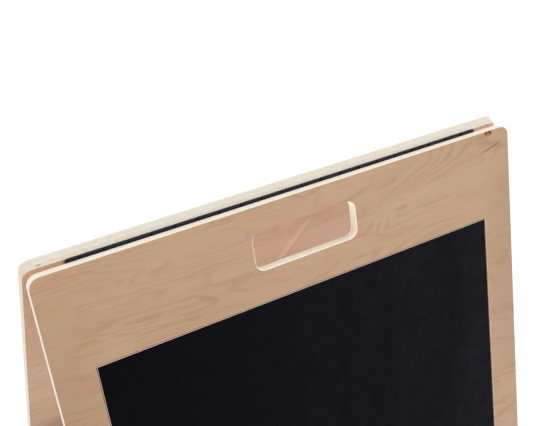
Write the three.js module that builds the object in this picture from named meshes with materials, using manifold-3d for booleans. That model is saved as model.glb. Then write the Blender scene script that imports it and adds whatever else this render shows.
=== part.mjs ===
// Double-sided plywood easel for children: two panels hinged along their top edges.
// Millimetres, +Z up. X runs along the hinge, -Y is the chalkboard side, the origin is on the floor.
import * as THREE from 'three';
import { mergeVertices } from 'three/addons/utils/BufferGeometryUtils.js';
import Module from 'manifold-3d';

const wasm = await Module();
wasm.setup();

// ---- driving dimensions (mm) ------------------------------------------------------------------

const WIDTH = 600;              // panel width
const SHEET = 12;               // plywood thickness
const SLOPE = 1060;             // panel length along its inner face, top edge to floor end
const LEAN = THREE.MathUtils.degToRad(20.8);   // lean of each panel from upright
const FIT = 0.3;                // air left between neighbouring pieces
const PAST = 5;                 // how far a cut runs past a face, or through a thin piece
const SUNK = 0.05;              // screw heads sit this far below their face

const INNER_FACE = 2.75;        // hinge pin axis to a panel's inner face
const TOP_DROP = 0.85;          // hinge pin axis down to a panel's top edge
const TOP_CORNER = 12;          // radius of a panel's top corners

const HANDLE = { halfWidth: 66, top: 28.5, bottom: 73.4, radius: 11 };
const BOARD = { halfWidth: 256, top: 111.5, height: 610, thick: 3, gap: 1.3, radius: 1.5 };
const ARCH = { halfBottom: 205, halfTop: 180, height: 85, radius: 34 };

const HINGE = {
  length: 516, pitch: 25.4, firstKnuckle: 12.7, seam: 0.35,
  barrelR: 2.45, boreR: 1.22, pinR: 1.15, leafThick: 1.3, leafDrop: 25, notch: 2.75, root: 1,
};
const HINGE_SCREW = { count: 10, spacing: 50.8, down: 14, headR: 3.4, shankR: 1.5, length: 11.4 };

const TRAY = { halfWidth: 262, down: 742, shelf: 12, reach: 66, wall: 9, wallHeight: 30 };
const TRAY_SCREW = { count: 3, spacing: 210, headR: 4.2, shankR: 2, length: 38 };
const TRAY_HOLE = 20;           // depth that takes a tray screw's hole through the panel

const STRAP = { offset: 225, width: 25, thick: 1, down: 610, tab: 34, bend: 12, dip: 0.3, sag: 5 };
const PLATE = { width: 29, height: 22, thick: 0.8, below: 17 };
const STRAP_SCREW = { headR: 2.3, shankR: 1.3, length: 8.6 };

const FOOT = { width: 66, thick: 4, offset: 256 };
const BUMPER = { radius: 7, taper: 0.85, thick: 4.5, offset: 256, up: 120 };
const SCREW_SIDES = 10;         // facets round a screw or its hole
const SCREW_TIP = { blunt: 0.35, flat: 0.6, taper: 3.2 };   // its narrowed end
const GROUND_DEPTH = 60;        // of the block that saws the panels level with the floor

const OUTER_FACE = INNER_FACE + SHEET;
const FLOOR_CUT = FOOT.thick + FIT;            // height of the panels' sawn floor ends
const PIN_HEIGHT = FLOOR_CUT + (SLOPE + TOP_DROP) * Math.cos(LEAN) - INNER_FACE * Math.sin(LEAN);

// ---- materials --------------------------------------------------------------------------------

const material = (color, roughness, metalness = 0) =>
  new THREE.MeshStandardMaterial({ color, roughness, metalness });

const MAPLE = material(0xb69677, 0.45);
const CHALKBOARD = material(0x17181b, 0.75);
const WHITEBOARD = material(0xdfe0e1, 0.2);
const BLACK_STEEL = material(0x26262a, 0.45, 0.8);
const PIN_STEEL = material(0x3a3a3e, 0.35, 0.9);
const ZINC = material(0xb9babd, 0.35, 0.9);
const WEBBING = material(0x1b1b1d, 0.9);
const RUBBER = material(0x1d1d1e, 0.85);

// ---- solid helpers ----------------------------------------------------------------------------

function toSolid(geometry) {
  const bare = geometry.clone();
  bare.deleteAttribute('normal');
  bare.deleteAttribute('uv');
  const merged = mergeVertices(bare, 1e-4);
  return new wasm.Manifold(new wasm.Mesh({
    numProp: 3,
    vertProperties: new Float32Array(merged.attributes.position.array),
    triVerts: new Uint32Array(merged.index.array),
  }));
}

function fromSolid(solid) {
  const mesh = solid.getMesh();
  const indexed = new THREE.BufferGeometry();
  indexed.setAttribute('position', new THREE.BufferAttribute(mesh.vertProperties, 3));
  indexed.setIndex(new THREE.BufferAttribute(mesh.triVerts, 1));
  const geometry = indexed.toNonIndexed();
  geometry.computeVertexNormals();
  return geometry;
}

function carve(geometry, cutters) {
  let solid = toSolid(geometry);
  for (const cutter of cutters) solid = solid.subtract(toSolid(cutter));
  return fromSolid(solid);
}

function join(geometries) {
  const [first, ...rest] = geometries.map(toSolid);
  return rest.reduce((sum, next) => sum.add(next), first);
}

function node(name, geometry, look) {
  const mesh = new THREE.Mesh(geometry, look);
  mesh.name = name;
  return mesh;
}

// A block given by its limits along X, Y and Z.
function block([x0, x1], [y0, y1], [z0, z1]) {
  const geometry = new THREE.BoxGeometry(x1 - x0, y1 - y0, z1 - z0);
  return geometry.translate((x0 + x1) / 2, (y0 + y1) / 2, (z0 + z1) / 2);
}

// Turns a shape drawn in the panel's face (X, Z) into a slab between two depths y0 < y1.
function slab(shape, y0, y1) {
  const geometry = new THREE.ExtrudeGeometry(shape, {
    depth: y1 - y0, bevelEnabled: false, curveSegments: 7,
  });
  return geometry.rotateX(Math.PI / 2).translate(0, y1, 0);
}

// Turns a shape drawn across the panel (Y, Z) into a bar between x0 and x1.
function bar(shape, x0, x1) {
  const geometry = new THREE.ExtrudeGeometry(shape, {
    depth: x1 - x0, bevelEnabled: false, curveSegments: 6,
  });
  const turn = new THREE.Matrix4().makeBasis(
    new THREE.Vector3(0, 1, 0), new THREE.Vector3(0, 0, 1), new THREE.Vector3(1, 0, 0),
  );
  return geometry.applyMatrix4(turn).translate(x0, 0, 0);
}

function roundedRect(target, x0, x1, z0, z1, r) {
  target.moveTo(x0 + r, z0);
  target.lineTo(x1 - r, z0);
  target.absarc(x1 - r, z0 + r, r, -Math.PI / 2, 0, false);
  target.lineTo(x1, z1 - r);
  target.absarc(x1 - r, z1 - r, r, 0, Math.PI / 2, false);
  target.lineTo(x0 + r, z1);
  target.absarc(x0 + r, z1 - r, r, Math.PI / 2, Math.PI, false);
  target.lineTo(x0, z0 + r);
  target.absarc(x0 + r, z0 + r, r, Math.PI, 1.5 * Math.PI, false);
  return target;
}

// A countersunk wood screw driven towards -Y, its flat head level with y = 0.
function screw({ headR, shankR, length }) {
  const profile = [
    [0, -length], [shankR * SCREW_TIP.blunt, -length + SCREW_TIP.flat],
    [shankR, -length + SCREW_TIP.taper],
    [shankR, shankR - headR], [headR, 0], [0, 0],
  ];
  return new THREE.LatheGeometry(profile.map(([r, y]) => new THREE.Vector2(r, y)), SCREW_SIDES);
}

// The countersunk hole that clears such a screw, from above its head down to a depth.
function screwHole({ headR, shankR }, depth) {
  const r = shankR + FIT;
  const profile = [
    [0, -depth], [r, -depth], [r, r - headR - FIT], [headR + FIT, 0], [headR + FIT, 1], [0, 1],
  ];
  return new THREE.LatheGeometry(profile.map(([x, y]) => new THREE.Vector2(x, y)), SCREW_SIDES);
}

const rowOf = (count, spacing) =>
  Array.from({ length: count }, (_, i) => (i - (count - 1) / 2) * spacing);

// ---- where things sit in a side's own frame ---------------------------------------------------
// Each side is drawn upright below the hinge pin: pin axis at y = z = 0, outer face towards -Y.

const TOP = -TOP_DROP;
const LEAF_FACE = -HINGE.barrelR + HINGE.leafThick;      // a leaf's bare face
const PLATE_FACE = -INNER_FACE + 2 * FIT + STRAP.thick + PLATE.thick;

const hingeScrewAt = rowOf(HINGE_SCREW.count, HINGE_SCREW.spacing)
  .map((x) => [x, LEAF_FACE - SUNK, -HINGE_SCREW.down]);
const trayScrewAt = rowOf(TRAY_SCREW.count, TRAY_SCREW.spacing)
  .map((x) => [x, -INNER_FACE - SUNK, TOP - TRAY.down - TRAY.shelf / 2]);
const strapScrewAt = [-STRAP.offset, STRAP.offset]
  .map((x) => [x, PLATE_FACE - SUNK, TOP - STRAP.down - PLATE.below]);

const holesAt = (places, kind, depth) =>
  places.map(([x, y, z]) => screwHole(kind, depth).translate(x, y, z));

// ---- panels and boards ------------------------------------------------------------------------

function panelOutline() {
  const w = WIDTH / 2;
  const floor = TOP - SLOPE - SHEET;
  const r = TOP_CORNER;
  const arch = TOP - SLOPE + ARCH.height;
  const shape = new THREE.Shape();
  shape.moveTo(-w, floor);
  shape.lineTo(-ARCH.halfBottom, floor);
  shape.quadraticCurveTo(-ARCH.halfTop, arch, -ARCH.halfTop + ARCH.radius, arch);
  shape.lineTo(ARCH.halfTop - ARCH.radius, arch);
  shape.quadraticCurveTo(ARCH.halfTop, arch, ARCH.halfBottom, floor);
  shape.lineTo(w, floor);
  shape.lineTo(w, TOP - r);
  shape.absarc(w - r, TOP - r, r, 0, Math.PI / 2, false);
  shape.lineTo(-w + r, TOP);
  shape.absarc(-w + r, TOP - r, r, Math.PI / 2, Math.PI, false);
  const { halfWidth, top, bottom, radius } = HANDLE;
  const hole = roundedRect(new THREE.Path(), -halfWidth, halfWidth, TOP - bottom, TOP - top, radius);
  shape.holes.push(hole);
  return shape;
}

// Everything below the floor cut, seen from the leaning side's own frame.
function belowFloor() {
  const ground = block([-WIDTH, WIDTH], [-SLOPE, 0], [-GROUND_DEPTH, 0]);
  return ground.translate(0, 0, FLOOR_CUT - PIN_HEIGHT).rotateX(LEAN);
}

function boardOutline(grow) {
  const { halfWidth, top, height, radius } = BOARD;
  const x = halfWidth + grow;
  const z1 = TOP - top + grow;
  return roundedRect(new THREE.Shape(), -x, x, z1 - height - 2 * grow, z1, radius + grow);
}

function panelBody() {
  const recessFloor = -OUTER_FACE + BOARD.thick + FIT;
  return carve(slab(panelOutline(), -OUTER_FACE, -INNER_FACE), [
    belowFloor(),
    slab(boardOutline(BOARD.gap), -OUTER_FACE - PAST, recessFloor),
    ...holesAt(hingeScrewAt, HINGE_SCREW, HINGE_SCREW.length + FIT),
    ...holesAt(trayScrewAt, TRAY_SCREW, TRAY_HOLE),
    ...holesAt(strapScrewAt, STRAP_SCREW, STRAP_SCREW.length + FIT),
  ]);
}

const drawingBoard = () => slab(boardOutline(0), -OUTER_FACE, -OUTER_FACE + BOARD.thick);

// ---- piano hinge ------------------------------------------------------------------------------

// Spans of the knuckles along X, alternating between the front and the rear leaf.
function knuckleSpans(odd) {
  const { length, pitch, firstKnuckle, seam } = HINGE;
  const cuts = [-length / 2];
  for (let x = -length / 2 + firstKnuckle; x < length / 2; x += pitch) cuts.push(x);
  cuts.push(length / 2);
  const spans = cuts.slice(1).map((end, i) => [cuts[i] + seam / 2, end - seam / 2]);
  return spans.filter((_, i) => (i % 2 === 1) === odd);
}

function knuckleSection() {
  const { barrelR, leafThick, boreR, notch, root } = HINGE;
  const shape = new THREE.Shape();
  shape.moveTo(-barrelR, -notch - root);
  shape.lineTo(LEAF_FACE, -notch - root);
  const seat = Math.sqrt(barrelR ** 2 - (barrelR - leafThick) ** 2);
  shape.lineTo(LEAF_FACE, -seat);
  shape.absarc(0, 0, barrelR, Math.atan2(-seat, LEAF_FACE), Math.PI, false);
  const bore = new THREE.Path();
  bore.absarc(0, 0, boreR, 0, 2 * Math.PI, true);
  shape.holes.push(bore);
  return shape;
}

function hingeLeaf(spans) {
  const half = HINGE.length / 2;
  const flat = block([-half, half], [-HINGE.barrelR, LEAF_FACE], [-HINGE.leafDrop, -HINGE.notch]);
  const knuckles = spans.map(([x0, x1]) => bar(knuckleSection(), x0, x1));
  let leaf = join([flat, ...knuckles]);
  for (const hole of holesAt(hingeScrewAt, HINGE_SCREW, PAST)) leaf = leaf.subtract(toSolid(hole));
  return fromSolid(leaf);
}

function hingePin() {
  const pin = new THREE.CylinderGeometry(HINGE.pinR, HINGE.pinR, HINGE.length, 20);
  return pin.rotateZ(Math.PI / 2);
}

// ---- pencil tray ------------------------------------------------------------------------------

function trayShelf() {
  const back = -OUTER_FACE - FIT;
  const top = TOP - TRAY.down;
  const shelf = block(
    [-TRAY.halfWidth, TRAY.halfWidth], [back - TRAY.reach, back], [top - TRAY.shelf, top],
  );
  return carve(shelf, holesAt(trayScrewAt, TRAY_SCREW, TRAY_SCREW.length + FIT));
}

function trayLip() {
  const half = TRAY.halfWidth + FIT + TRAY.wall;
  const front = -OUTER_FACE - 2 * FIT - TRAY.reach;
  const base = TOP - TRAY.down - TRAY.shelf;
  const shape = roundedRect(new THREE.Shape(), -half, half, base, base + TRAY.wallHeight, 6);
  return slab(shape, front - TRAY.wall, front);
}

function trayEnd(side) {
  const back = -OUTER_FACE - FIT;
  const base = TOP - TRAY.down - TRAY.shelf;
  const x = TRAY.halfWidth + FIT;
  const ends = side > 0 ? [x, x + TRAY.wall] : [-x - TRAY.wall, -x];
  return block(ends, [back - TRAY.reach, back], [base, base + TRAY.wallHeight]);
}

// ---- small fittings on a side -----------------------------------------------------------------

function strapPlate(x) {
  const z = TOP - STRAP.down - PLATE.below;
  const shape = new THREE.Shape();
  roundedRect(shape, x - PLATE.width / 2, x + PLATE.width / 2,
    z - PLATE.height / 2, z + PLATE.height / 2, 3);
  const hole = screwHole(STRAP_SCREW, PAST).translate(x, PLATE_FACE - SUNK, z);
  return carve(slab(shape, PLATE_FACE - PLATE.thick, PLATE_FACE), [hole]);
}

function footPad(x) {
  const inner = -INNER_FACE * Math.cos(LEAN) - (SLOPE + TOP_DROP) * Math.sin(LEAN);
  const outer = inner - SHEET / Math.cos(LEAN);
  const shape = new THREE.Shape();
  roundedRect(shape, x - FOOT.width / 2, x + FOOT.width / 2, outer, inner, 3);
  return new THREE.ExtrudeGeometry(shape, {
    depth: FOOT.thick, bevelEnabled: false, curveSegments: 4,
  });
}

function bumper(x) {
  const { radius, taper, thick } = BUMPER;
  const pad = new THREE.CylinderGeometry(radius * taper, radius, thick, 20);
  const y = -INNER_FACE + FIT + thick / 2;
  return pad.translate(x, y, TOP - SLOPE + BUMPER.up);
}

function addScrews(group, name, kind, places) {
  places.forEach(([x, y, z], i) => {
    group.add(node(`${name}_${i + 1}`, screw(kind).translate(x, y, z), ZINC));
  });
}

// ---- one leaning side -------------------------------------------------------------------------

function side(name, board, boardLook, spans) {
  const group = new THREE.Group();
  group.name = `${name}_side`;
  group.position.z = PIN_HEIGHT;
  group.rotation.x = -LEAN;
  group.add(node(`${name}_panel`, panelBody(), MAPLE));
  group.add(node(board, drawingBoard(), boardLook));
  group.add(node(`hinge_leaf_${name}`, hingeLeaf(spans), BLACK_STEEL));
  group.add(node(`${name}_tray_shelf`, trayShelf(), MAPLE));
  group.add(node(`${name}_tray_lip`, trayLip(), MAPLE));
  group.add(node(`${name}_tray_end_left`, trayEnd(-1), MAPLE));
  group.add(node(`${name}_tray_end_right`, trayEnd(1), MAPLE));
  addScrews(group, `${name}_hinge_screw`, HINGE_SCREW, hingeScrewAt);
  addScrews(group, `${name}_tray_screw`, TRAY_SCREW, trayScrewAt);
  addScrews(group, `${name}_strap_screw`, STRAP_SCREW, strapScrewAt);
  [-1, 1].forEach((s, i) => {
    group.add(node(`${name}_strap_plate_${i + 1}`, strapPlate(s * STRAP.offset), ZINC));
  });
  return group;
}

function footPads(name) {
  const group = new THREE.Group();
  group.name = `${name}_feet`;
  [-1, 1].forEach((s, i) => {
    group.add(node(`${name}_foot_pad_${i + 1}`, footPad(s * FOOT.offset), RUBBER));
  });
  return group;
}

// ---- straps that stop the easel opening -------------------------------------------------------

// A point (y, z) of the front side's frame, in the easel's frame.
const leanPoint = (y, z) => new THREE.Vector2(
  y * Math.cos(LEAN) + z * Math.sin(LEAN),
  PIN_HEIGHT - y * Math.sin(LEAN) + z * Math.cos(LEAN),
);

// Centre line of a strap across the easel: tab, bend, sagging run, bend, tab.
function strapLine() {
  const y = -INNER_FACE + FIT + STRAP.thick / 2;
  const tabEnd = leanPoint(y, TOP - STRAP.down - STRAP.tab);
  const bendFrom = leanPoint(y, TOP - STRAP.down - STRAP.bend / 2);
  const corner = leanPoint(y, TOP - STRAP.down);
  const run = corner.x + STRAP.bend;
  const path = new THREE.Path();
  path.moveTo(tabEnd.x, tabEnd.y);
  path.lineTo(bendFrom.x, bendFrom.y);
  path.quadraticCurveTo(corner.x, corner.y, run, corner.y - STRAP.dip);
  path.quadraticCurveTo(0, corner.y - 2 * STRAP.sag, -run, corner.y - STRAP.dip);
  path.quadraticCurveTo(-corner.x, corner.y, -bendFrom.x, bendFrom.y);
  path.lineTo(-tabEnd.x, tabEnd.y);
  return path.getPoints(10);
}

// Thickens a polyline into a closed outline.
function ribbon(points, thick) {
  const shifted = (sign) => points.map((p, i) => {
    const before = points[Math.max(i - 1, 0)];
    const after = points[Math.min(i + 1, points.length - 1)];
    const along = after.clone().sub(before).normalize();
    return new THREE.Vector2(p.x - along.y * sign * thick / 2, p.y + along.x * sign * thick / 2);
  });
  return new THREE.Shape([...shifted(1), ...shifted(-1).reverse()]);
}

function openingStrap(x) {
  const strap = bar(ribbon(strapLine(), STRAP.thick), x - STRAP.width / 2, x + STRAP.width / 2);
  const z = TOP - STRAP.down - PLATE.below;
  const hole = new THREE.CylinderGeometry(
    STRAP_SCREW.shankR + FIT, STRAP_SCREW.shankR + FIT, 2 * PAST, SCREW_SIDES,
  ).translate(0, -INNER_FACE, z).rotateX(-LEAN).translate(x, 0, PIN_HEIGHT);
  const mirrored = hole.clone().translate(-x, 0, 0).rotateZ(Math.PI).translate(x, 0, 0);
  return carve(strap, [hole, mirrored]);
}

// ---- the easel --------------------------------------------------------------------------------

const easel = new THREE.Group();
easel.name = 'kids_easel';

const front = new THREE.Group();
front.name = 'front_half';
front.add(side('front', 'chalkboard', CHALKBOARD, knuckleSpans(false)));
front.add(footPads('front'));

const rear = new THREE.Group();
rear.name = 'rear_half';
rear.rotation.z = Math.PI;
const rearSpans = knuckleSpans(true).map(([x0, x1]) => [-x1, -x0]);
const rearSide = side('rear', 'whiteboard', WHITEBOARD, rearSpans);
[-1, 1].forEach((s, i) => {
  rearSide.add(node(`rear_bumper_${i + 1}`, bumper(s * BUMPER.offset), RUBBER));
});
rear.add(rearSide);
rear.add(footPads('rear'));

const pin = node('hinge_pin', hingePin(), PIN_STEEL);
pin.position.z = PIN_HEIGHT;

easel.add(front, rear, pin);
[-1, 1].forEach((s, i) => {
  easel.add(node(`opening_strap_${i + 1}`, openingStrap(s * STRAP.offset), WEBBING));
});

export default easel;
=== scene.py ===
"""Kids easel: two hinged plywood panels with inlaid boards, on a pale studio floor.

Metres, +Z up, X along the hinge, -Y is the chalkboard side. Every board is built flat in its own
frame (X across, Z up the panel, Y through the thickness, outer face at -Y) and then leaned.
"""
import math

import bmesh
import bpy
from mathutils import Matrix, Vector
from mathutils.geometry import tessellate_polygon


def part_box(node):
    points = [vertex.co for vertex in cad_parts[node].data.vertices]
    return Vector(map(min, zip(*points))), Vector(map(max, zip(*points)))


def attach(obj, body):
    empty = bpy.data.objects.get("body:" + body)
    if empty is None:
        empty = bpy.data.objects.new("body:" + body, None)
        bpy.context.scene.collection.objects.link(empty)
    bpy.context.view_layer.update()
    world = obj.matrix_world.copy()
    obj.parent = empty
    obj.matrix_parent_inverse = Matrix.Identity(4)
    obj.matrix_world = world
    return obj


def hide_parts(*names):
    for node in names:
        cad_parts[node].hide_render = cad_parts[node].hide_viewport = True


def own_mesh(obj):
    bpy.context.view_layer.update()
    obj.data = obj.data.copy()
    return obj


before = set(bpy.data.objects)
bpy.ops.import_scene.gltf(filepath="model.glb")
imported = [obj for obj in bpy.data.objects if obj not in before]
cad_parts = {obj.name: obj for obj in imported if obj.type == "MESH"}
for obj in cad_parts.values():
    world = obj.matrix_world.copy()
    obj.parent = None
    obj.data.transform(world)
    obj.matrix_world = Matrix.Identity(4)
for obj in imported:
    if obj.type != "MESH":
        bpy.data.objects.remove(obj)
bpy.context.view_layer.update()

MM = 0.001
FRONT, REAR = "front", "rear"

# ---- the CAD model's dimensions, in millimetres -------------------------------------------------

LEAN = math.radians(20.8)
WIDTH, SHEET, SLOPE = 600, 12, 1060
INNER_FACE, TOP_DROP, TOP_CORNER, FIT = 2.75, 0.85, 12, 0.3
HANDLE_HALF, HANDLE_TOP, HANDLE_BOTTOM, HANDLE_CORNER = 66, 28.5, 73.4, 11
BOARD_HALF, BOARD_TOP, BOARD_HEIGHT, BOARD_THICK, BOARD_GAP = 256, 111.5, 610, 3, 1.3
ARCH_BOTTOM, ARCH_TOP, ARCH_HEIGHT, ARCH_CORNER = 205, 180, 85, 34
HINGE_LENGTH, PITCH, FIRST_KNUCKLE, SEAM = 516, 25.4, 12.7, 0.35
BARREL, BORE, PIN, LEAF_THICK, LEAF_DROP, NOTCH = 2.45, 1.22, 1.15, 1.3, 25, 2.75
TRAY_HALF, TRAY_DOWN, TRAY_SHELF, TRAY_REACH, TRAY_WALL, TRAY_WALL_HEIGHT = 262, 742, 12, 66, 9, 30
STRAP_X, STRAP_WIDTH, STRAP_THICK, STRAP_DOWN, STRAP_TAB, STRAP_BEND, STRAP_DIP, STRAP_SAG = (
    225, 25, 1, 610, 34, 12, 0.3, 5)
PLATE_WIDTH, PLATE_HEIGHT, PLATE_THICK, PLATE_BELOW = 29, 22, 0.8, 17
FOOT_WIDTH, FOOT_THICK, FOOT_X = 66, 4, 256
BUMPER_R, BUMPER_THICK, BUMPER_X, BUMPER_UP = 7, 4.5, 256, 120
FLOOR_CUT = FOOT_THICK + FIT
OUTER_FACE = INNER_FACE + SHEET

# A screw is (head radius, shank radius, length); SUNK is how far its head lies below its face.
HINGE_SCREW, TRAY_SCREW, STRAP_SCREW, SUNK = (3.4, 1.5, 11.4), (4.2, 2.0, 38), (2.3, 1.3, 8.6), 0.05
HINGE_SCREWS, HINGE_SPACING, HINGE_SCREW_DOWN = 10, 50.8, 14
TRAY_SCREWS, TRAY_SPACING = 3, 210
HINGE_SINK, TRAY_SINK, STRAP_SINK = 3.75, 4.5, 2.62       # radii of the countersinks at their mouths

# Details that only this model has: rounded edges, wider seams, the veneer's thickness.
PANEL_EASE, HANDLE_EASE, KNUCKLE_EASE, SEAM_RELIEF, VENEER = 0.45, 0.8, 0.5, 0.6, 0.3
RECESS_CHAMFER, BOARD_CHAMFER = 0.25, 0.2

low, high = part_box("hinge_pin")
PIN_HEIGHT = (low.z + high.z) / 2 / MM


def place(x, y, z):
    """A translation given in millimetres."""
    return Matrix.Translation(Vector((x, y, z)) * MM)


SIDE = {
    FRONT: place(0, 0, PIN_HEIGHT) @ Matrix.Rotation(-LEAN, 4, "X"),
    REAR: Matrix.Rotation(math.pi, 4, "Z") @ place(0, 0, PIN_HEIGHT) @ Matrix.Rotation(-LEAN, 4, "X"),
}

# ---- outlines -----------------------------------------------------------------------------------


def arc(cx, cz, r, start, end, steps):
    """Points round a circle from one angle to another, in degrees."""
    turn = [math.radians(start + (end - start) * i / steps) for i in range(steps + 1)]
    return [(cx + r * math.cos(t), cz + r * math.sin(t)) for t in turn]


def rounded_rect(x0, x1, z0, z1, r, steps=6):
    """Counter-clockwise outline of a rectangle with round corners."""
    return (arc(x1 - r, z0 + r, r, -90, 0, steps) + arc(x1 - r, z1 - r, r, 0, 90, steps)
            + arc(x0 + r, z1 - r, r, 90, 180, steps) + arc(x0 + r, z0 + r, r, 180, 270, steps))


def circle(cx, cz, r, steps=24):
    return arc(cx, cz, r, 0, 360, steps)[:-1]


def screw_places(count, spacing):
    """Places along X for a row of screws, centred."""
    return [(i - (count - 1) / 2) * spacing for i in range(count)]


def bezier(a, b, c, steps):
    """Points of a quadratic curve after its first one."""
    made = []
    for i in range(1, steps + 1):
        t = i / steps
        made.append(tuple((1 - t) ** 2 * p + 2 * t * (1 - t) * q + t * t * s
                          for p, q, s in zip(a, b, c)))
    return made


def offset(loop, inset):
    """The closed loop moved by inset towards its left, which is into the material."""
    if not inset:
        return list(loop)
    made = []
    for i, (x, z) in enumerate(loop):
        (ax, az), (bx, bz) = loop[i - 1], loop[(i + 1) % len(loop)]
        d1, d2 = Vector((x - ax, z - az)).normalized(), Vector((bx - x, bz - z)).normalized()
        n1, n2 = Vector((-d1.y, d1.x)), Vector((-d2.y, d2.x))
        n = (n1 + n2) / max(1 + n1.dot(n2), 0.3)
        made.append((x + n.x * inset, z + n.y * inset))
    return made


def eased(y0, y1, r, steps=3):
    """(y, inset) steps down a wall between two faces, with both its edges rounded."""
    quarter = [math.radians(90 * i / steps) for i in range(steps + 1)]
    lead = [(y0 + r * (1 - math.cos(t)), r * (1 - math.sin(t))) for t in quarter]
    tail = [(y1 - r * (1 - math.cos(t)), r * (1 - math.sin(t))) for t in reversed(quarter)]
    return lead + tail


# ---- mesh building ------------------------------------------------------------------------------


class Build:
    """Collects rings and caps into one bmesh, in millimetres; walls take slot 1 and caps slot 0."""

    def __init__(self, shift=None):
        self.mesh = bmesh.new()
        self.shift = shift

    def ring(self, loop, y):
        points = [(x, y, z) for x, z in loop]
        if self.shift:
            points = [self.shift(*p) for p in points]
        return [self.mesh.verts.new(p) for p in points]

    def wall(self, loop, levels, slot=1, smooth=True):
        """Rings down a wall; returns the first and the last."""
        rings = [self.ring(offset(loop, inset), y) for y, inset in levels]
        for upper, lower in zip(rings, rings[1:]):
            for i in range(len(upper)):
                j = (i + 1) % len(upper)
                face = self.mesh.faces.new((upper[i], upper[j], lower[j], lower[i]))
                face.material_index, face.smooth = slot, smooth
        return rings[0], rings[-1]

    def cap(self, rings, slot=0):
        """Fills the area inside the first ring and outside the others."""
        verts = [v for ring in rings for v in ring]
        for tri in tessellate_polygon([[v.co for v in ring] for ring in rings]):
            corners = [verts[k] for k in tri]
            if len(set(corners)) == 3:
                face = self.mesh.faces.new(corners)
                face.material_index = slot

    def done(self, name, materials, matrix=Matrix.Identity(4)):
        bmesh.ops.recalc_face_normals(self.mesh, faces=self.mesh.faces[:])
        bmesh.ops.scale(self.mesh, vec=(MM, MM, MM), verts=self.mesh.verts[:])
        data = bpy.data.meshes.new(name)
        self.mesh.to_mesh(data)
        self.mesh.free()
        for m in materials:
            data.materials.append(m)
        obj = bpy.data.objects.new(name, data)
        bpy.context.scene.collection.objects.link(obj)
        obj.matrix_world = matrix
        return obj


def hand_over(obj, body, slot, *nodes):
    """The piece rides on a body and stands for these CAD nodes; the slot is not used."""
    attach(obj, body)
    if nodes:
        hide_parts(*nodes)
    return obj


# ---- materials ----------------------------------------------------------------------------------


class Look:
    """A material's node tree, built one node at a time."""

    def __init__(self, name, rough=0.5, metal=0.0, specular=0.5):
        self.material = bpy.data.materials.new(name)
        self.material.use_nodes = True
        self.tree = self.material.node_tree
        self.shader = self.tree.nodes["Principled BSDF"]
        self.shader.inputs["Roughness"].default_value = rough
        self.shader.inputs["Metallic"].default_value = metal
        self.shader.inputs["Specular IOR Level"].default_value = specular

    def set(self, socket, value):
        if isinstance(value, bpy.types.NodeSocket):
            self.tree.links.new(value, socket)
        else:
            socket.default_value = value

    def node(self, kind, props=None, **inputs):
        made = self.tree.nodes.new(kind)
        for key, value in (props or {}).items():
            setattr(made, key, value)
        for key, value in inputs.items():
            self.set(made.inputs[key.replace("_", " ")], value)
        return made

    def place(self, scale, location=(0, 0, 0)):
        """Object coordinates in metres, scaled."""
        coords = self.node("ShaderNodeTexCoord").outputs["Object"]
        return self.node("ShaderNodeMapping", Vector=coords, Scale=scale,
                         Location=location).outputs["Vector"]

    def noise(self, scale, detail=2.0, rough=0.5, distortion=0.0, location=(0, 0, 0)):
        vector = self.place(scale, location)
        return self.node("ShaderNodeTexNoise", Vector=vector, Scale=1.0, Detail=detail,
                         Roughness=rough, Distortion=distortion).outputs["Fac"]

    def math(self, operation, *values, clamp=False):
        made = self.node("ShaderNodeMath", {"operation": operation, "use_clamp": clamp})
        for socket, value in zip(made.inputs, values):
            self.set(socket, value)
        return made.outputs[0]

    def ramp(self, value, *stops):
        """A smooth grey curve through (position, level) stops."""
        made = self.node("ShaderNodeValToRGB", Fac=value)
        elements = made.color_ramp.elements
        for _ in range(len(stops) - 2):
            elements.new(0.5)
        for element, (position, level) in zip(elements, stops):
            element.position = position
            element.color = (level, level, level, 1)
        return made.outputs["Color"]

    def mix(self, factor, a, b, blend="MIX"):
        made = self.node("ShaderNodeMix", {"data_type": "RGBA", "blend_type": blend})
        for key, value in ((0, factor), (6, a), (7, b)):
            if isinstance(value, tuple):
                value = (*value, 1.0)[:4]
            self.set(made.inputs[key], value)
        return made.outputs[2]

    def separate(self, vector):
        return self.node("ShaderNodeSeparateXYZ", Vector=vector).outputs

    def paint(self, colour):
        self.set(self.shader.inputs["Base Color"],
                 (*colour, 1.0) if isinstance(colour, tuple) else colour)

    def relief(self, height, strength, distance=0.001):
        bump = self.node("ShaderNodeBump", Height=height, Strength=strength, Distance=distance)
        self.set(self.shader.inputs["Normal"], bump.outputs["Normal"])

    def roughen(self, value):
        self.set(self.shader.inputs["Roughness"], value)


TAN = (0.463, 0.298, 0.180)
PINK = (0.485, 0.308, 0.197)
PALE_TAN = (0.521, 0.357, 0.228)
GRAIN = (0.345, 0.190, 0.098)
FLECK = (0.44, 0.185, 0.075)
SPECK = (0.06, 0.018, 0.010)
KNOT_RIM = (0.15, 0.030, 0.005)
KNOT_HEART = (0.42, 0.17, 0.075)
CHECK = (0.24, 0.095, 0.045)

PLIES = 5
EDGE_PALE = (0.79, 0.735, 0.63)
EDGE_DARK = (0.71, 0.62, 0.49)
EDGE_GLUE = (0.42, 0.30, 0.19)
EDGE_PORE = (0.62, 0.52, 0.40)
EDGE_CLOUD = (0.74, 0.70, 0.62)


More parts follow.
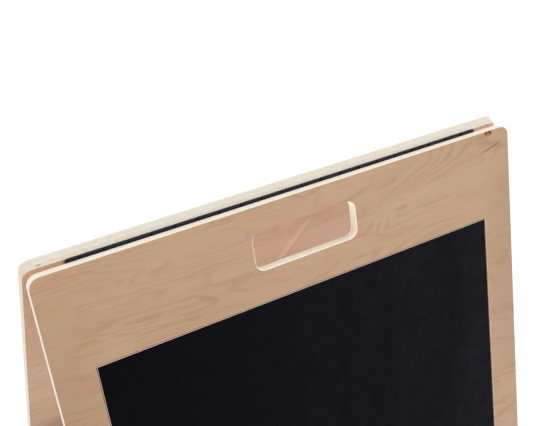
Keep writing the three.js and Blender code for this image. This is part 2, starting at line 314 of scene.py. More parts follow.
def growth_rings(look, where):
    """Thin wavy contour lines: long and flat towards -X, curling into swirls towards +X."""
    parts = look.separate(look.place((1, 1, 1)))
    flat = look.noise((2.4, 7, 12), 2.2, 0.5, 0.5, where)
    curly = look.noise((4.6, 7, 7.4), 1.6, 0.40, 0.9, where)
    curl = look.ramp(look.math("MULTIPLY_ADD", parts["X"], 2.2, 0.38), (0.2, 0.0), (0.8, 0.85))
    height = look.mix(curl, flat, curly)
    ripple = look.math("MULTIPLY", look.noise((26, 26, 60), 2.0, 0.6, 0.0, where), 1.3)
    count = look.math("ADD", look.math("MULTIPLY_ADD", height, 24.0, ripple),
                      look.math("MULTIPLY", parts["Z"], 30.0))
    line = look.ramp(look.math("FRACT", count), (0.0, 0.2), (0.45, 0.0), (0.86, 1.0), (1.0, 0.2))
    fade = look.ramp(look.noise((6, 12, 34), 2.5, 0.6, 0.0, where), (0.38, 0.05), (0.66, 1.0))
    return look.math("MULTIPLY", line, fade)


def mark_shape(look, centre, half, slope=0.0):
    """1 in the middle of an ellipsoid turned about Y, falling to 0 at its rim; millimetres."""
    at = look.node("ShaderNodeMapping", {"vector_type": "TEXTURE"},
                   Vector=look.node("ShaderNodeTexCoord").outputs["Object"],
                   Location=Vector(centre) * MM, Rotation=(0, math.radians(-slope), 0),
                   Scale=Vector(half) * MM).outputs["Vector"]
    far = look.node("ShaderNodeVectorMath", {"operation": "LENGTH"}, Vector=at).outputs["Value"]
    return look.math("SUBTRACT", 1.0, look.math("MULTIPLY", far, far), clamp=True)


def veneer(name, seed, painted_light_and_shade=(), marks=(), flecked=0.0, facing=-1):
    """Maple veneer with its grain along X: growth rings, fibres and flecks.

    Flecked brings out more of the flecks, and more still towards -X.

    Painted light and shade lie under the grain and marks over it, on the face whose Y sign is
    facing. Each is (x, down, half length, half width, slope in degrees, strength, colour), in
    millimetres on the panel's face, down from its top edge.
    """
    look = Look(name, rough=0.42, specular=0.35)

    def apply(spots, colour):
        for x, down, half_long, half_wide, slope, strength, tint in spots:
            near = mark_shape(look, (x, facing * SHEET / 2, -down),
                              (half_long, SHEET / 2, half_wide), slope)
            colour = look.mix(look.math("MULTIPLY", near, strength), colour, tint)
        return colour

    where = (seed, seed * 0.37, seed * 0.71)
    drift = look.noise((1.6, 4, 5.5), 1.0, 0.4, 0.3, where)
    colour = look.mix(look.ramp(drift, (0.3, 0.0), (0.7, 1.0)), TAN, PINK)
    pale = look.ramp(look.noise((2.4, 9, 20), 3.0, 0.55, 0.5, where), (0.42, 0.0), (0.75, 0.7))
    # Painted light and shade go on under the grain.
    colour = apply(painted_light_and_shade, look.mix(pale, colour, PALE_TAN))
    rings = growth_rings(look, where)
    colour = look.mix(look.math("MULTIPLY", rings, 0.70), colour, GRAIN)
    fibre = look.noise((14, 60, 700), 3.0, 0.6, 0.0, where)
    colour = look.mix(look.ramp(fibre, (0.3, 0.0), (0.8, 0.30)), colour, GRAIN)
    streak = look.noise((28, 40, 250), 1.0, 0.5, 0.6, where)
    more = look.math("MULTIPLY_ADD", look.separate(look.place((1, 1, 1)))["X"], -0.25 * flecked,
                     0.03 * flecked)
    fleck = look.ramp(look.math("ADD", streak, more), (0.63, 0.0), (0.73, 1.0))
    patch = look.math("ADD", look.noise((5, 9, 14), 1.0, 0.5, 0.0, where), more)
    sparse = look.ramp(patch, (0.46, 0.0), (0.58, 1.0))
    colour = look.mix(look.math("MULTIPLY", look.math("MULTIPLY", fleck, sparse), 0.55),
                      colour, FLECK)
    look.paint(apply(marks, colour))
    look.roughen(look.ramp(fibre, (0.2, 0.36), (0.9, 0.50)))
    look.relief(look.math("ADD", fibre, look.math("MULTIPLY", rings, -0.5)), 0.03, 0.0004)
    return look.material


def ply_edge(name, painted_light_scale, spots=(), contrast=1.0, wander=0.5):
    """The sawn and sanded edge of a plywood sheet: pale plies across Y, alternate ones darker.

    The tone scales all its colours, above 1 as painted light and below 1 as painted shade, and
    the contrast its layers, which wander by some tenths of a millimetre; a spot is a small brown
    knot (centre, half sizes).
    """
    look = Look(name, rough=0.5, specular=0.3)
    parts = look.separate(look.place((1, 1, 1)))
    wobble = look.math("MULTIPLY", look.noise((9, 30, 9), 2.0, 0.5), wander * MM)
    depth = look.math("ADD", parts["Y"], wobble)
    ply = look.math("MULTIPLY", depth, PLIES / (SHEET * MM))
    across = look.math("PINGPONG", ply, 1.0)
    dark = look.ramp(across, (0.45, 0.0), (0.55, 1.0))
    colour = look.mix(look.math("MULTIPLY", dark, 0.45 * contrast), EDGE_PALE, EDGE_DARK)
    seam = look.math("PINGPONG", look.math("ADD", ply, 0.5), 0.5)
    glue = look.ramp(seam, (0.0, 1.0), (0.07, 0.0))
    colour = look.mix(look.math("MULTIPLY", glue, 0.30 * contrast), colour, EDGE_GLUE)
    pores = look.noise((150, 600, 150), 4.0, 0.8)
    colour = look.mix(look.ramp(pores, (0.50, 0.0), (0.66, 0.85)), colour, EDGE_PORE)
    cloud = look.noise((11, 60, 11), 2.0, 0.5)
    colour = look.mix(look.ramp(cloud, (0.4, 0.0), (0.75, 0.5)), colour, EDGE_CLOUD)
    for centre, half in spots:
        colour = look.mix(mark_shape(look, centre, half), colour, FLECK)
    # Painted light and shade: the tone multiplies the whole colour.
    look.paint(look.mix(1.0, colour, (painted_light_scale, painted_light_scale, painted_light_scale), "MULTIPLY"))
    look.relief(look.math("SUBTRACT", pores, look.math("MULTIPLY", glue, 0.8)), 0.2, 0.0003)
    return look.material


def routed_wood_and_gap_shade(name):
    """Bare wood at the bottom of a routed recess or a bored hole; on the recess's walls its dark
    colour is painted shade for the narrow gap round the board.
    """
    look = Look(name, rough=0.75, specular=0.2)
    fibre = look.noise((300, 300, 12), 3.0, 0.6)
    look.paint(look.mix(fibre, (0.50, 0.33, 0.20), (0.66, 0.50, 0.34)))
    look.relief(fibre, 0.4, 0.0004)
    return look.material


def chalkboard_paint(name):
    """Matt black paint with a faint cloud of wiped chalk and a fine tooth; the haze grows towards +X
    as a painted sheen.
    """
    look = Look(name, rough=0.62, specular=0.02)
    wipe = look.noise((5, 20, 2.2), 4.0, 0.6, 1.2)
    dust = look.noise((60, 60, 60), 3.0, 0.7)
    haze = look.math("MULTIPLY", look.ramp(wipe, (0.4, 0.3), (0.8, 1.0)), dust)
    across = look.separate(look.place((1, 1, 1)))["X"]
    # The wiped chalk haze is real; its growth towards +X is a painted sheen of light from the right.
    side = look.ramp(look.math("MULTIPLY_ADD", across, 1.9, 0.5), (0.1, 0.006), (0.95, 0.095))
    look.paint(look.mix(look.math("MULTIPLY", haze, side), (0.0030, 0.0028, 0.0042),
                        (0.19, 0.20, 0.26)))
    tooth = look.noise((2200, 2200, 2200), 2.0, 0.6)
    look.roughen(look.ramp(wipe, (0.3, 0.56), (0.8, 0.70)))
    look.relief(tooth, 0.25, 0.0002)
    return look.material


def whiteboard_skin(name):
    """Glossy white laminate with the faintest orange-peel and wiping haze."""
    look = Look(name, rough=0.18, specular=0.5)
    haze = look.noise((4, 9, 2.5), 3.0, 0.6, 0.8)
    look.paint(look.mix(haze, (0.74, 0.75, 0.755), (0.69, 0.70, 0.71)))
    look.roughen(look.ramp(haze, (0.3, 0.14), (0.8, 0.26)))
    look.relief(look.noise((700, 700, 700), 1.0, 0.5), 0.06, 0.0002)
    return look.material


def board_core(name):
    """Sanded edge of a thin fibre board."""
    look = Look(name, rough=0.8, specular=0.2)
    fibre = look.noise((900, 2500, 900), 3.0, 0.7)
    look.paint(look.mix(fibre, (0.70, 0.53, 0.42), (0.84, 0.70, 0.60)))
    look.relief(fibre, 0.3, 0.0003)
    return look.material


def coated_steel(name, base, rough, worn, metal=0.0):
    """Black coated steel: slightly uneven coat, paler where hands and wood have rubbed it."""
    look = Look(name, rough=rough, metal=metal, specular=0.14)
    mottling = look.noise((180, 400, 400), 3.0, 0.6)
    rub = look.ramp(look.noise((35, 300, 300), 2.0, 0.6), (0.55, 0.0), (0.8, 0.5))
    look.paint(look.mix(rub, base, worn))
    look.roughen(look.ramp(mottling, (0.2, rough - 0.08), (0.8, rough + 0.10)))
    look.relief(mottling, 0.15, 0.0002)
    return look.material


def plated_steel(name):
    """Bright zinc plate with fine turning marks and dull patches."""
    look = Look(name, rough=0.3, metal=1.0)
    dull = look.noise((500, 500, 500), 3.0, 0.6)
    look.paint(look.mix(dull, (0.55, 0.56, 0.58), (0.74, 0.74, 0.73)))
    look.roughen(look.ramp(dull, (0.2, 0.22), (0.8, 0.42)))
    look.relief(look.noise((1500, 1500, 1500), 2.0, 0.6), 0.12, 0.0001)
    return look.material


def woven_webbing(name):
    """Black nylon webbing: ribs along the strap crossed by the weft."""
    look = Look(name, rough=0.78, specular=0.25)
    coords = look.place((1, 1, 1))
    parts = look.separate(coords)
    ribs = look.math("SINE", look.math("MULTIPLY", parts["X"], 2 * math.pi / 0.0021))
    weft = look.math("SINE", look.math("MULTIPLY", parts["Y"], 2 * math.pi / 0.0016))
    weave = look.math("MULTIPLY", ribs, weft)
    level = look.ramp(look.math("MULTIPLY_ADD", weave, 0.5, 0.5), (0.0, 0.0), (1.0, 1.0))
    fuzz = look.noise((1600, 1600, 1600), 2.0, 0.7)
    colour = look.mix(level, (0.008, 0.008, 0.009), (0.035, 0.035, 0.038))
    look.paint(look.mix(look.math("MULTIPLY", fuzz, 0.2), colour, (0.09, 0.09, 0.095)))
    look.relief(look.math("ADD", level, look.math("MULTIPLY", fuzz, 0.3)), 0.6, 0.0006)
    return look.material


def soft_rubber(name):
    """Dark rubber with a fine moulded texture and dusty patches."""
    look = Look(name, rough=0.72, specular=0.3)
    grain = look.noise((900, 900, 900), 2.0, 0.6)
    dust = look.ramp(look.noise((60, 60, 120), 3.0, 0.6), (0.5, 0.0), (0.8, 0.35))
    look.paint(look.mix(dust, (0.016, 0.016, 0.017), (0.10, 0.095, 0.085)))
    look.relief(grain, 0.3, 0.0003)
    return look.material


def floor_paint(name):
    """Pale matt studio floor."""
    look = Look(name, rough=0.9, specular=0.1)
    look.paint(look.mix(look.noise((0.6, 0.6, 0.6), 1.0, 0.5), (0.90, 0.90, 0.90),
                        (0.92, 0.92, 0.92)))
    return look.material


# Painted shade: the front veneer is darker towards its left, bottom left and right sides, where the
# light falls off.
FRONT_PAINTED_SHADE = [
    (-330, 230, 150, 150, 0.0, 0.70, (0.385, 0.236, 0.140)),
    (-300, 120, 70, 110, 0.0, 0.45, (0.405, 0.250, 0.150)),
    (305, 190, 62, 190, 0.0, 0.75, (0.400, 0.258, 0.162)),
]

# Four features of the front veneer: a dark knot near the top right corner with a stain round it, a
# thin check below it, and two specks at the middle of the board's top edge.
FRONT_MARKS = [
    (263, 4, 17, 5, 10, 0.70, FLECK),
    (268, 2.5, 6.5, 4, -4, 1.9, KNOT_RIM),
    (268, 4, 3, 2, -4, 1.5, KNOT_HEART),
    (271, 22, 20, 1, 13, 1.5, CHECK),
    (-18, 110.5, 1, 1, 0, 0.9, SPECK),
    (-11, 110.5, 1, 1, 0, 0.8, SPECK),
]

# Painted light: the rear panel's inner face is brighter and warmer beside the hinge's ends, for light
# bouncing round the narrow gap there.
REAR_PAINTED_BOUNCE_LIGHT = [
    (285, 6, 44, 16, 0.0, 0.9, (0.66, 0.36, 0.175)),
    (-285, 6, 44, 16, 0.0, 0.9, (0.74, 0.47, 0.31)),
]

# A dark diagonal line behind the hand hole, with a pale band beside it.
REAR_MARKS = [
    (-41, 149, 66, 8, 101, 0.50, (0.64, 0.45, 0.31)),
    (-49, 149, 62, 3, 101, 0.50, GRAIN),
]

FACE_FRONT = veneer("maple_front", 3.1, FRONT_PAINTED_SHADE, FRONT_MARKS, flecked=0.8)
FACE_REAR = veneer("maple_rear", 11.7, REAR_PAINTED_BOUNCE_LIGHT, REAR_MARKS, facing=1)
FACE_TRAY = veneer("maple_tray", 23.3)
# The rear edges are a copy of the front's with painted shade: tone 0.85 darkens them.
EDGE = {
    FRONT: ply_edge("ply_edges_front", 1.0),
    REAR: ply_edge("ply_edges_rear_painted_shade", 0.85, [((283, 3.0, -0.5), (3.6, 1.1, 2.0))]),
}
# The hand hole's edges are a brighter copy, tone 1.13, painted light on its shaded ledge and walls;
# the stronger contrast shows their plies.
HAND_EDGE_PAINTED_LIGHT = ply_edge("ply_edges_hand_hole_painted_light", 1.13, contrast=1.8, wander=0.2)
ROUTED_AND_GAP_SHADE = routed_wood_and_gap_shade("routed_wood_and_gap_shade")
CHALK = chalkboard_paint("chalkboard_paint")
WHITE = whiteboard_skin("whiteboard_laminate")
CORE = board_core("board_core")
HINGE = coated_steel("hinge_black", (0.0110, 0.0085, 0.0130), 0.36, (0.034, 0.029, 0.038))
PIN_LOOK = coated_steel("hinge_pin_steel", (0.004, 0.004, 0.004), 0.45, (0.02, 0.02, 0.02), 0.6)
ZINC = plated_steel("zinc_plate")
WEBBING = woven_webbing("webbing")
RUBBER = soft_rubber("rubber")

# ---- panels -------------------------------------------------------------------------------------


def floor_line(y):
    """Height, up the panel from its top edge, of the floor cut at a depth y from mid-thickness."""
    depth = y - INNER_FACE - SHEET / 2
    return ((FLOOR_CUT - PIN_HEIGHT) + depth * math.sin(LEAN)) / math.cos(LEAN) + TOP_DROP


def panel_outline():
    half, r, floor = WIDTH / 2, TOP_CORNER, floor_line(SHEET / 2)
    arch = ARCH_HEIGHT - SLOPE
    right = [(ARCH_BOTTOM, floor), (half, floor)]
    top = arc(half - r, -r, r, 0, 90, 8) + arc(-half + r, -r, r, 90, 180, 8)
    left = [(-half, floor), (-ARCH_BOTTOM, floor)]
    inner_left = bezier((-ARCH_BOTTOM, floor), (-ARCH_TOP, arch), (-ARCH_TOP + ARCH_CORNER, arch), 14)
    inner_right = [(ARCH_TOP - ARCH_CORNER, arch)] + bezier(
        (ARCH_TOP - ARCH_CORNER, arch), (ARCH_TOP, arch), (ARCH_BOTTOM, floor), 14)[:-1]
    return right + top + left + inner_left + inner_right


def to_floor(x, y, z):
    """Follows the level floor cut across the thickness."""
    nominal = floor_line(SHEET / 2)
    if z < nominal + 4:
        z += (floor_line(y) - nominal) * min(1, (nominal + 4 - z) / 2)
    return x, y, z


def panel(side, face):
    build = Build(to_floor)
    t = SHEET / 2
    hand = rounded_rect(-HANDLE_HALF, HANDLE_HALF, -HANDLE_BOTTOM, -HANDLE_TOP,
                        HANDLE_CORNER, 8)[::-1]
    front_rings, back_rings = [], []
    for loop, ease in ((panel_outline(), PANEL_EASE), (hand, HANDLE_EASE)):
        first, last = build.wall(loop, eased(-t, t, ease))
        front_rings.append(first)
        back_rings.append(last)
    for f in build.mesh.faces:
        middle = f.calc_center_median()
        near_hand = abs(middle.x) < BOARD_HALF and middle.z > -HANDLE_BOTTOM - 1
        # Painted highlight: below its top the hole's arris takes the pale ply colour right up to the
        # face, where the veneer would be; its top arris keeps the veneer.
        sanded = near_hand and middle.z < -HANDLE_TOP - 3       # the hole's arris below its top
        if abs(middle.y) > t - VENEER and not sanded:
            f.material_index = 0
        elif near_hand and middle.z < -HANDLE_TOP + 1:
            f.material_index = 3
    x, z1 = BOARD_HALF + BOARD_GAP, -BOARD_TOP + BOARD_GAP
    recess = rounded_rect(-x, x, z1 - BOARD_HEIGHT - 2 * BOARD_GAP, z1, 2.8, 4)[::-1]
    levels = [(-t, RECESS_CHAMFER), (-t + RECESS_CHAMFER, 0), (-t + BOARD_THICK + FIT, 0)]
    # Painted shade: the recess's walls take the darker routed wood, not the pale plies, so the narrow
    # gap round the board reads dark.
    first, last = build.wall(recess, levels, 2, smooth=False)
    for f in {f for v in first for f in v.link_faces}:
        f.material_index = 1        # the recess's arris is sanded like the sheet's edges
    front_rings.append(first)
    build.cap([last], 2)
    for hole in screw_places(TRAY_SCREWS, TRAY_SPACING):
        spot = circle(hole, -TRAY_DOWN - TRAY_SHELF / 2, TRAY_SINK)[::-1]
        first, last = build.wall(spot, [(t, 0), (t - 2.2, -2.2), (t - 9, -2.2)], 2)
        back_rings.append(first)
        build.cap([last], 2)
    build.cap(front_rings)
    build.cap(back_rings)
    at = SIDE[side] @ place(0, -INNER_FACE - t, -TOP_DROP)
    obj = build.done(f"{side}_panel_plywood", (face, EDGE[side], ROUTED_AND_GAP_SHADE, HAND_EDGE_PAINTED_LIGHT), at)
    return hand_over(obj, side, "maple_plywood", f"{side}_panel")


def inlaid_board(side, name, node, skin, slot):
    build = Build()
    t = BOARD_THICK / 2
    top = -BOARD_TOP
    loop = rounded_rect(-BOARD_HALF, BOARD_HALF, top - BOARD_HEIGHT, top, 1.5, 4)
    levels = [(-t, RECESS_CHAMFER), (-t + BOARD_CHAMFER, 0), (t, 0)]
    first, last = build.wall(loop, levels, smooth=False)
    build.cap([first])
    build.cap([last], 1)
    at = SIDE[side] @ place(0, -OUTER_FACE + t, -TOP_DROP)
    return hand_over(build.done(name, (skin, CORE), at), side, slot, node)


# ---- piano hinge --------------------------------------------------------------------------------


def knuckle_spans(odd):
    cuts = [-HINGE_LENGTH / 2]
    x = cuts[0] + FIRST_KNUCKLE
    while x < HINGE_LENGTH / 2:
        cuts.append(x)
        x += PITCH
    cuts.append(HINGE_LENGTH / 2)
    spans = list(zip(cuts, cuts[1:]))
    gap = SEAM / 2 + SEAM_RELIEF
    return [(a + gap, b - gap) for i, (a, b) in enumerate(spans) if i % 2 == odd]


def hinge_leaf(side, spans):
    build = Build()
    half = HINGE_LENGTH / 2
    outline = rounded_rect(-half, half, -LEAF_DROP, -NOTCH, 0.6, 2)
    first, last = build.wall(outline, eased(-BARREL, -BARREL + LEAF_THICK, 0.3, 2))
    faces = [[first], [last]]
    for x in screw_places(HINGE_SCREWS, HINGE_SPACING):
        spot = circle(x, -HINGE_SCREW_DOWN, HINGE_SINK)[::-1]
        wide, narrow = build.wall(spot, [(-BARREL + LEAF_THICK, 0), (-BARREL, -1.5)])
        faces[0].append(narrow)
        faces[1].append(wide)
    for rings in faces:
        build.cap(rings)
    for x0, x1 in spans:
        knuckle(build, x0, x1)
    obj = build.done(f"{side}_hinge_leaf", (HINGE, HINGE), SIDE[side])
    return hand_over(obj, side, "black_steel", f"hinge_leaf_{side}")


def knuckle(build, x0, x1):
    """One rolled knuckle and the strip of leaf that runs up to it."""
    before = set(build.mesh.verts)
    seat = -math.degrees(math.acos((BARREL - LEAF_THICK) / BARREL))
    outer = [(-BARREL, -NOTCH - 1), (-BARREL + LEAF_THICK, -NOTCH - 1)]
    outer += arc(0, 0, BARREL, -180 - seat, 180, 40)
    bore = circle(0, 0, BORE, 24)[::-1]
    first, last = build.wall(outer, eased(-x1, -x0, KNUCKLE_EASE, 3))
    inner_first, inner_last = build.wall(bore, [(-x1, 0), (-x0, 0)])
    build.cap([first, inner_first])
    build.cap([last, inner_last])
    made = [v for v in build.mesh.verts if v not in before]
    for v in made:
        section_y, minus_x, z = v.co
        v.co = (-minus_x, section_y, z)


def hinge_pin():
    build = Build()
    half = HINGE_LENGTH / 2
    levels = eased(-half, half, 0.4, 3)
    first, last = build.wall(circle(0, 0, PIN, 28), levels)
    build.cap([first])
    build.cap([last])
    at = place(0, 0, PIN_HEIGHT) @ Matrix.Rotation(math.pi / 2, 4, "Z")
    return hand_over(build.done("hinge_pin_rod", (PIN_LOOK, PIN_LOOK), at), FRONT, "pin_steel",
                     "hinge_pin")


# ---- screws -------------------------------------------------------------------------------------


def cross(half_long, half_wide):
    """Outline of a cross recess."""
    a, b = half_long, half_wide
    return [(a, -b), (a, b), (b, b), (b, a), (-b, a), (-b, b), (-a, b), (-a, -b), (-b, -b),
            (-b, -a), (b, -a), (b, -b)]


def screws(name, side, places, size, node):
    """Countersunk screws driven towards -Y, heads level with each place's y."""
    head, shank, length = size
    build = Build()
    for x, y, z in places:
        rim = circle(x, z, head, 28)
        levels = [(y, 0.12), (y - 0.12, 0), (y - head + shank, head - shank),
                  (y - length + 3, head - shank), (y - length + 0.4, head - 0.35 * shank)]
        first, last = build.wall(rim, levels)
        slot = [(x + a, z + b) for a, b in cross(head * 0.55, head * 0.13)][::-1]
        mouth, bottom = build.wall(slot, [(y, 0), (y - head * 0.38, -head * 0.05)], smooth=False)
        build.cap([first, mouth])
        build.cap([bottom])
        build.cap([last])
    obj = build.done(name, (ZINC, ZINC), SIDE[side])
    nodes = [f"{side}_{node}_{i + 1}" for i in range(len(places))]
    return hand_over(obj, side, "zinc_steel", *nodes)


# ---- pencil tray --------------------------------------------------------------------------------


def plank(name, side, node, loop, thick, at, ease=1.5):
    """A flat piece of plywood with rounded edges, its outline in the plank's own X and Z."""
    build = Build()
    first, last = build.wall(loop, eased(-thick / 2, thick / 2, ease))
    build.cap([first])
    build.cap([last])
    obj = build.done(name, (FACE_TRAY, EDGE[side]), SIDE[side] @ at)
    return hand_over(obj, side, "maple_plywood", node)


def tray(side):
    back = -OUTER_FACE - FIT
    base = -TOP_DROP - TRAY_DOWN - TRAY_SHELF
    tilt = Matrix.Rotation(math.pi / 2, 4, "X")
    shelf = rounded_rect(-TRAY_HALF, TRAY_HALF, -TRAY_REACH / 2, TRAY_REACH / 2, 0.8, 2)
    plank(f"{side}_tray_shelf_board", side, f"{side}_tray_shelf", shelf, TRAY_SHELF,
          place(0, back - TRAY_REACH / 2, base + TRAY_SHELF / 2) @ tilt, 0.8)
    half = TRAY_HALF + FIT + TRAY_WALL
    lip = rounded_rect(-half, half, 0, TRAY_WALL_HEIGHT, 6, 6)
    plank(f"{side}_tray_lip_board", side, f"{side}_tray_lip", lip, TRAY_WALL,
          place(0, back - FIT - TRAY_REACH - TRAY_WALL / 2, base))
    quarter = Matrix.Rotation(math.pi / 2, 4, "Z")
    end = rounded_rect(-TRAY_REACH / 2, TRAY_REACH / 2, 0, TRAY_WALL_HEIGHT, 0.8, 2)
    for sign, word in ((-1, "left"), (1, "right")):
        x = sign * (TRAY_HALF + FIT + TRAY_WALL / 2)
        plank(f"{side}_tray_end_{word}_board", side, f"{side}_tray_end_{word}", end, TRAY_WALL,
              place(x, back - TRAY_REACH / 2, base) @ quarter, 0.8)


# ---- strap fittings, feet and bumpers -----------------------------------------------------------

PLATE_FACE = -INNER_FACE + 2 * FIT + STRAP_THICK + PLATE_THICK
PLATE_AT = -TOP_DROP - STRAP_DOWN - PLATE_BELOW


def strap_plate(side, sign, index):
    build = Build()
    x = sign * STRAP_X
    loop = rounded_rect(x - PLATE_WIDTH / 2, x + PLATE_WIDTH / 2, PLATE_AT - PLATE_HEIGHT / 2,
                        PLATE_AT + PLATE_HEIGHT / 2, 3, 5)
    first, last = build.wall(loop, eased(PLATE_FACE - PLATE_THICK, PLATE_FACE, 0.25, 2))
    spot = circle(x, PLATE_AT, STRAP_SINK)[::-1]
    wide, narrow = build.wall(spot, [(PLATE_FACE, 0), (PLATE_FACE - PLATE_THICK, -1.0)])
    build.cap([first, narrow])
    build.cap([last, wide])
    obj = build.done(f"{side}_strap_washer_{index}", (ZINC, ZINC), SIDE[side])
    return hand_over(obj, side, "zinc_steel", f"{side}_strap_plate_{index}")


def foot_pad(side, sign, index):
    inner = -INNER_FACE * math.cos(LEAN) - (SLOPE + TOP_DROP) * math.sin(LEAN)
    outer = inner - SHEET / math.cos(LEAN)
    x = sign * FOOT_X
    loop = rounded_rect(x - FOOT_WIDTH / 2, x + FOOT_WIDTH / 2, outer, inner, 3, 5)
    build = Build()
    levels = [(0, 0.7), (0.25, 0.25), (0.7, 0), (1.4, 0), (1.7, 0.4), (2.0, 0.4), (2.3, 0),
              (3.5, 0), (3.85, 0.15), (4.0, 0.5)]
    first, last = build.wall(loop, levels)
    build.cap([first])
    build.cap([last])
    for v in build.mesh.verts:
        v.co = (v.co.x, v.co.z, v.co.y)
    turn = Matrix.Rotation(math.pi, 4, "Z") if side == REAR else Matrix.Identity(4)
    obj = build.done(f"{side}_foot_rubber_{index}", (RUBBER, RUBBER), turn)
    return hand_over(obj, side, "rubber", f"{side}_foot_pad_{index}")


def bumper(sign, index):
    build = Build()
    y = -INNER_FACE + FIT
    rim = circle(sign * BUMPER_X, -TOP_DROP - SLOPE + BUMPER_UP, BUMPER_R, 32)
    levels = [(y + BUMPER_THICK * part, inset) for part, inset in (
        (0, 0), (0.11, 0), (0.67, 0.5), (0.87, 1.2), (0.96, 2.4), (1, 4.2))]
    first, last = build.wall(rim, levels)
    build.cap([first])
    build.cap([last])
    obj = build.done(f"rear_bumper_dome_{index}", (RUBBER, RUBBER), SIDE[REAR])
    return hand_over(obj, REAR, "rubber", f"rear_bumper_{index}")


# ---- straps -------------------------------------------------------------------------------------


def lean_point(y, z):
    """A point (y, z) of the front side's frame, in the easel's own."""
    p = SIDE[FRONT] @ Vector((0, y * MM, z * MM))
    return p.y / MM, p.z / MM


def strap_route():
    """Centre line from the front tab's end to the front bend, and across to the rear bend."""
    y = -INNER_FACE + FIT + STRAP_THICK / 2
    z = -TOP_DROP - STRAP_DOWN
    end, bend, corner = (lean_point(y, z - d) for d in (STRAP_TAB, STRAP_BEND / 2, 0))
    run = corner[0] + STRAP_BEND
    level = corner[1] - STRAP_DIP
    tab = [end] + [tuple(a + (b - a) * i / 6 for a, b in zip(end, bend)) for i in range(1, 7)]
    across = [bend] + bezier(bend, corner, (run, level), 8)
    across += bezier((run, level), (0, corner[1] - 2 * STRAP_SAG), (-run, level), 40)
    across += bezier((-run, level), (-corner[0], corner[1]), (-bend[0], bend[1]), 8)
    return tab, across


def ribbon(name, route, x):
    """Flat webbing swept along a route of (y, z) points, with soft thickened edges."""
    build = Build()
    mesh = build.mesh
    half, t = STRAP_WIDTH / 2, STRAP_THICK / 2
    section = [(-half + 0.5, -t), (-half / 2, -t * 0.9), (0, -t), (half / 2, -t * 0.9),
               (half - 0.5, -t), (half, -t * 0.5), (half, t * 0.5), (half - 0.5, t),
               (half / 2, t * 0.9), (0, t), (-half / 2, t * 0.9), (-half + 0.5, t),
               (-half, t * 0.5), (-half, -t * 0.5)]
    rings = []
    for i, (y, z) in enumerate(route):
        (ay, az), (by, bz) = route[max(i - 1, 0)], route[min(i + 1, len(route) - 1)]
        along = Vector((by - ay, bz - az)).normalized()
        rings.append([mesh.verts.new((x + a, y - along.y * b, z + along.x * b))
                      for a, b in section])
    for one, two in zip(rings, rings[1:]):
        for i in range(len(section)):
            j = (i + 1) % len(section)
            face = mesh.faces.new((one[i], one[j], two[j], two[i]))
            face.smooth = True
    for ring in (rings[0], rings[-1]):
        mesh.faces.new(ring)
    return build.done(name, (WEBBING,))


def strap(sign, index):
    x = sign * STRAP_X
    tab, across = strap_route()
    rear_tab = [(-y, z) for y, z in tab]
    for side, route in ((FRONT, tab), (REAR, rear_tab)):
        hand_over(ribbon(f"strap_{index}_{side}_tab", route, x), side, "webbing")
    run = ribbon(f"strap_{index}_run", across, x)
    hand_over(run, FRONT, "webbing", f"opening_strap_{index}")
    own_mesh(run)


# ---- the easel ----------------------------------------------------------------------------------

panel(FRONT, FACE_FRONT)
panel(REAR, FACE_REAR)
inlaid_board(FRONT, "chalkboard_inlay", "chalkboard", CHALK, "chalkboard")
inlaid_board(REAR, "whiteboard_inlay", "whiteboard", WHITE, "whiteboard")
hinge_leaf(FRONT, knuckle_spans(0))
hinge_leaf(REAR, [(-b, -a) for a, b in knuckle_spans(1)])
hinge_pin()
LEAF_SCREWS_AT = [(x, -BARREL + LEAF_THICK - SUNK, -HINGE_SCREW_DOWN)
                  for x in screw_places(HINGE_SCREWS, HINGE_SPACING)]
TRAY_SCREWS_AT = [(x, -INNER_FACE - SUNK, -TOP_DROP - TRAY_DOWN - TRAY_SHELF / 2)
                  for x in screw_places(TRAY_SCREWS, TRAY_SPACING)]
STRAP_SCREWS_AT = [(x, PLATE_FACE - SUNK, PLATE_AT) for x in (-STRAP_X, STRAP_X)]
for which in (FRONT, REAR):
    screws(f"{which}_hinge_screws", which, LEAF_SCREWS_AT, HINGE_SCREW, "hinge_screw")
    screws(f"{which}_tray_screws", which, TRAY_SCREWS_AT, TRAY_SCREW, "tray_screw")
    screws(f"{which}_strap_screws", which, STRAP_SCREWS_AT, STRAP_SCREW, "strap_screw")
    tray(which)
    for number, direction in ((1, -1), (2, 1)):
        strap_plate(which, direction, number)
        foot_pad(which, direction, number)
for number, direction in ((1, -1), (2, 1)):
    bumper(direction, number)
    strap(direction, number)

# ---- floor, light and camera --------------------------------------------------------------------


def make_floor():
    build = Build()
    build.cap([build.ring(rounded_rect(-9000, 9000, -9000, 9000, 400, 12), 0)])
    for v in build.mesh.verts:
        v.co = (v.co.x, v.co.z, -0.2)
    for f in build.mesh.faces:
        if f.normal.z < 0:
            f.normal_flip()
    floor = build.done("studio_floor", (floor_paint("floor_paint"),))


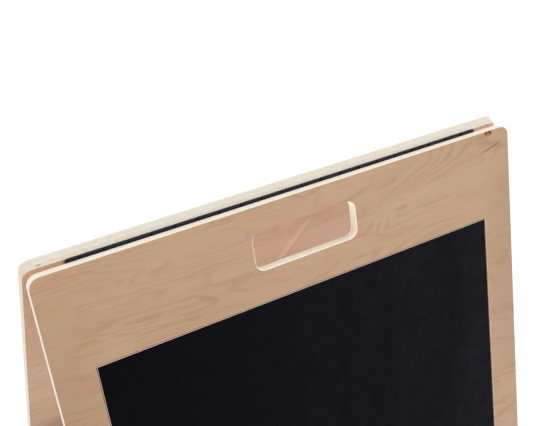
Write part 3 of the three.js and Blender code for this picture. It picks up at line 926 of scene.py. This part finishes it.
def area_light(name, spot, aim, size, power, spread=180):
    """A soft light; size is a disc's diameter or a rectangle's two sides."""
    data = bpy.data.lights.new(name, "AREA")
    if isinstance(size, tuple):
        data.shape, (data.size, data.size_y) = "RECTANGLE", size
    else:
        data.shape, data.size = "DISK", size
    data.energy, data.spread = power, math.radians(spread)
    light = bpy.data.objects.new(name, data)
    light.location = spot
    light.rotation_mode = "QUATERNION"
    light.rotation_quaternion = (Vector(aim) - Vector(spot)).to_track_quat("-Z", "Y")
    bpy.context.scene.collection.objects.link(light)
    return light


def studio():
    """Even white surroundings, with soft lights above, at the front, left and between the panels."""
    world = bpy.data.worlds.new("studio")
    bpy.context.scene.world = world
    world.use_nodes = True
    sky = world.node_tree.nodes["Background"]
    sky.inputs["Color"].default_value = (1.0, 1.0, 1.0, 1)
    sky.inputs["Strength"].default_value = 0.94
    area_light("overhead", (0.3, 1.4, 4.2), (0.3, 0.8, 0), 5.0, 54)
    area_light("front_fill", (0.9, -1.5, 1.6), (0.1, 0, 0.9), 0.8, 5)
    area_light("left_fill", (-2.6, 0.0, 0.9), (0, 0.1, 0.8), 1.0, 9)
    # It brightens the panels' inner faces; neither the camera nor a reflection shows the lamp.
    glow = area_light("inside_glow", (0, 0, 0.45), (0, 0, 1), (0.64, 0.30), 0.84, spread=60)
    glow.visible_camera = False
    glow.visible_glossy = False
    bpy.context.scene.view_settings.view_transform = "Standard"


def camera():
    """Stands at the front left, a little above the easel, and looks down across its top edge."""
    data = bpy.data.cameras.new("camera")
    data.sensor_width, data.lens = 36, 54.96
    data.clip_start, data.clip_end = 0.01, 50
    cam = bpy.data.objects.new("camera", data)
    heading, tilt, roll = math.radians(32.23), math.radians(38.75), math.radians(3.21)
    look_along = (Matrix.Rotation(-heading, 4, "Z") @ Matrix.Rotation(math.pi / 2 - tilt, 4, "X")
                  @ Matrix.Rotation(roll, 4, "Z"))
    cam.matrix_world = place(-403, -586, PIN_HEIGHT + 533.5) @ look_along
    bpy.context.scene.collection.objects.link(cam)
    bpy.context.scene.camera = cam


make_floor()
studio()
camera()
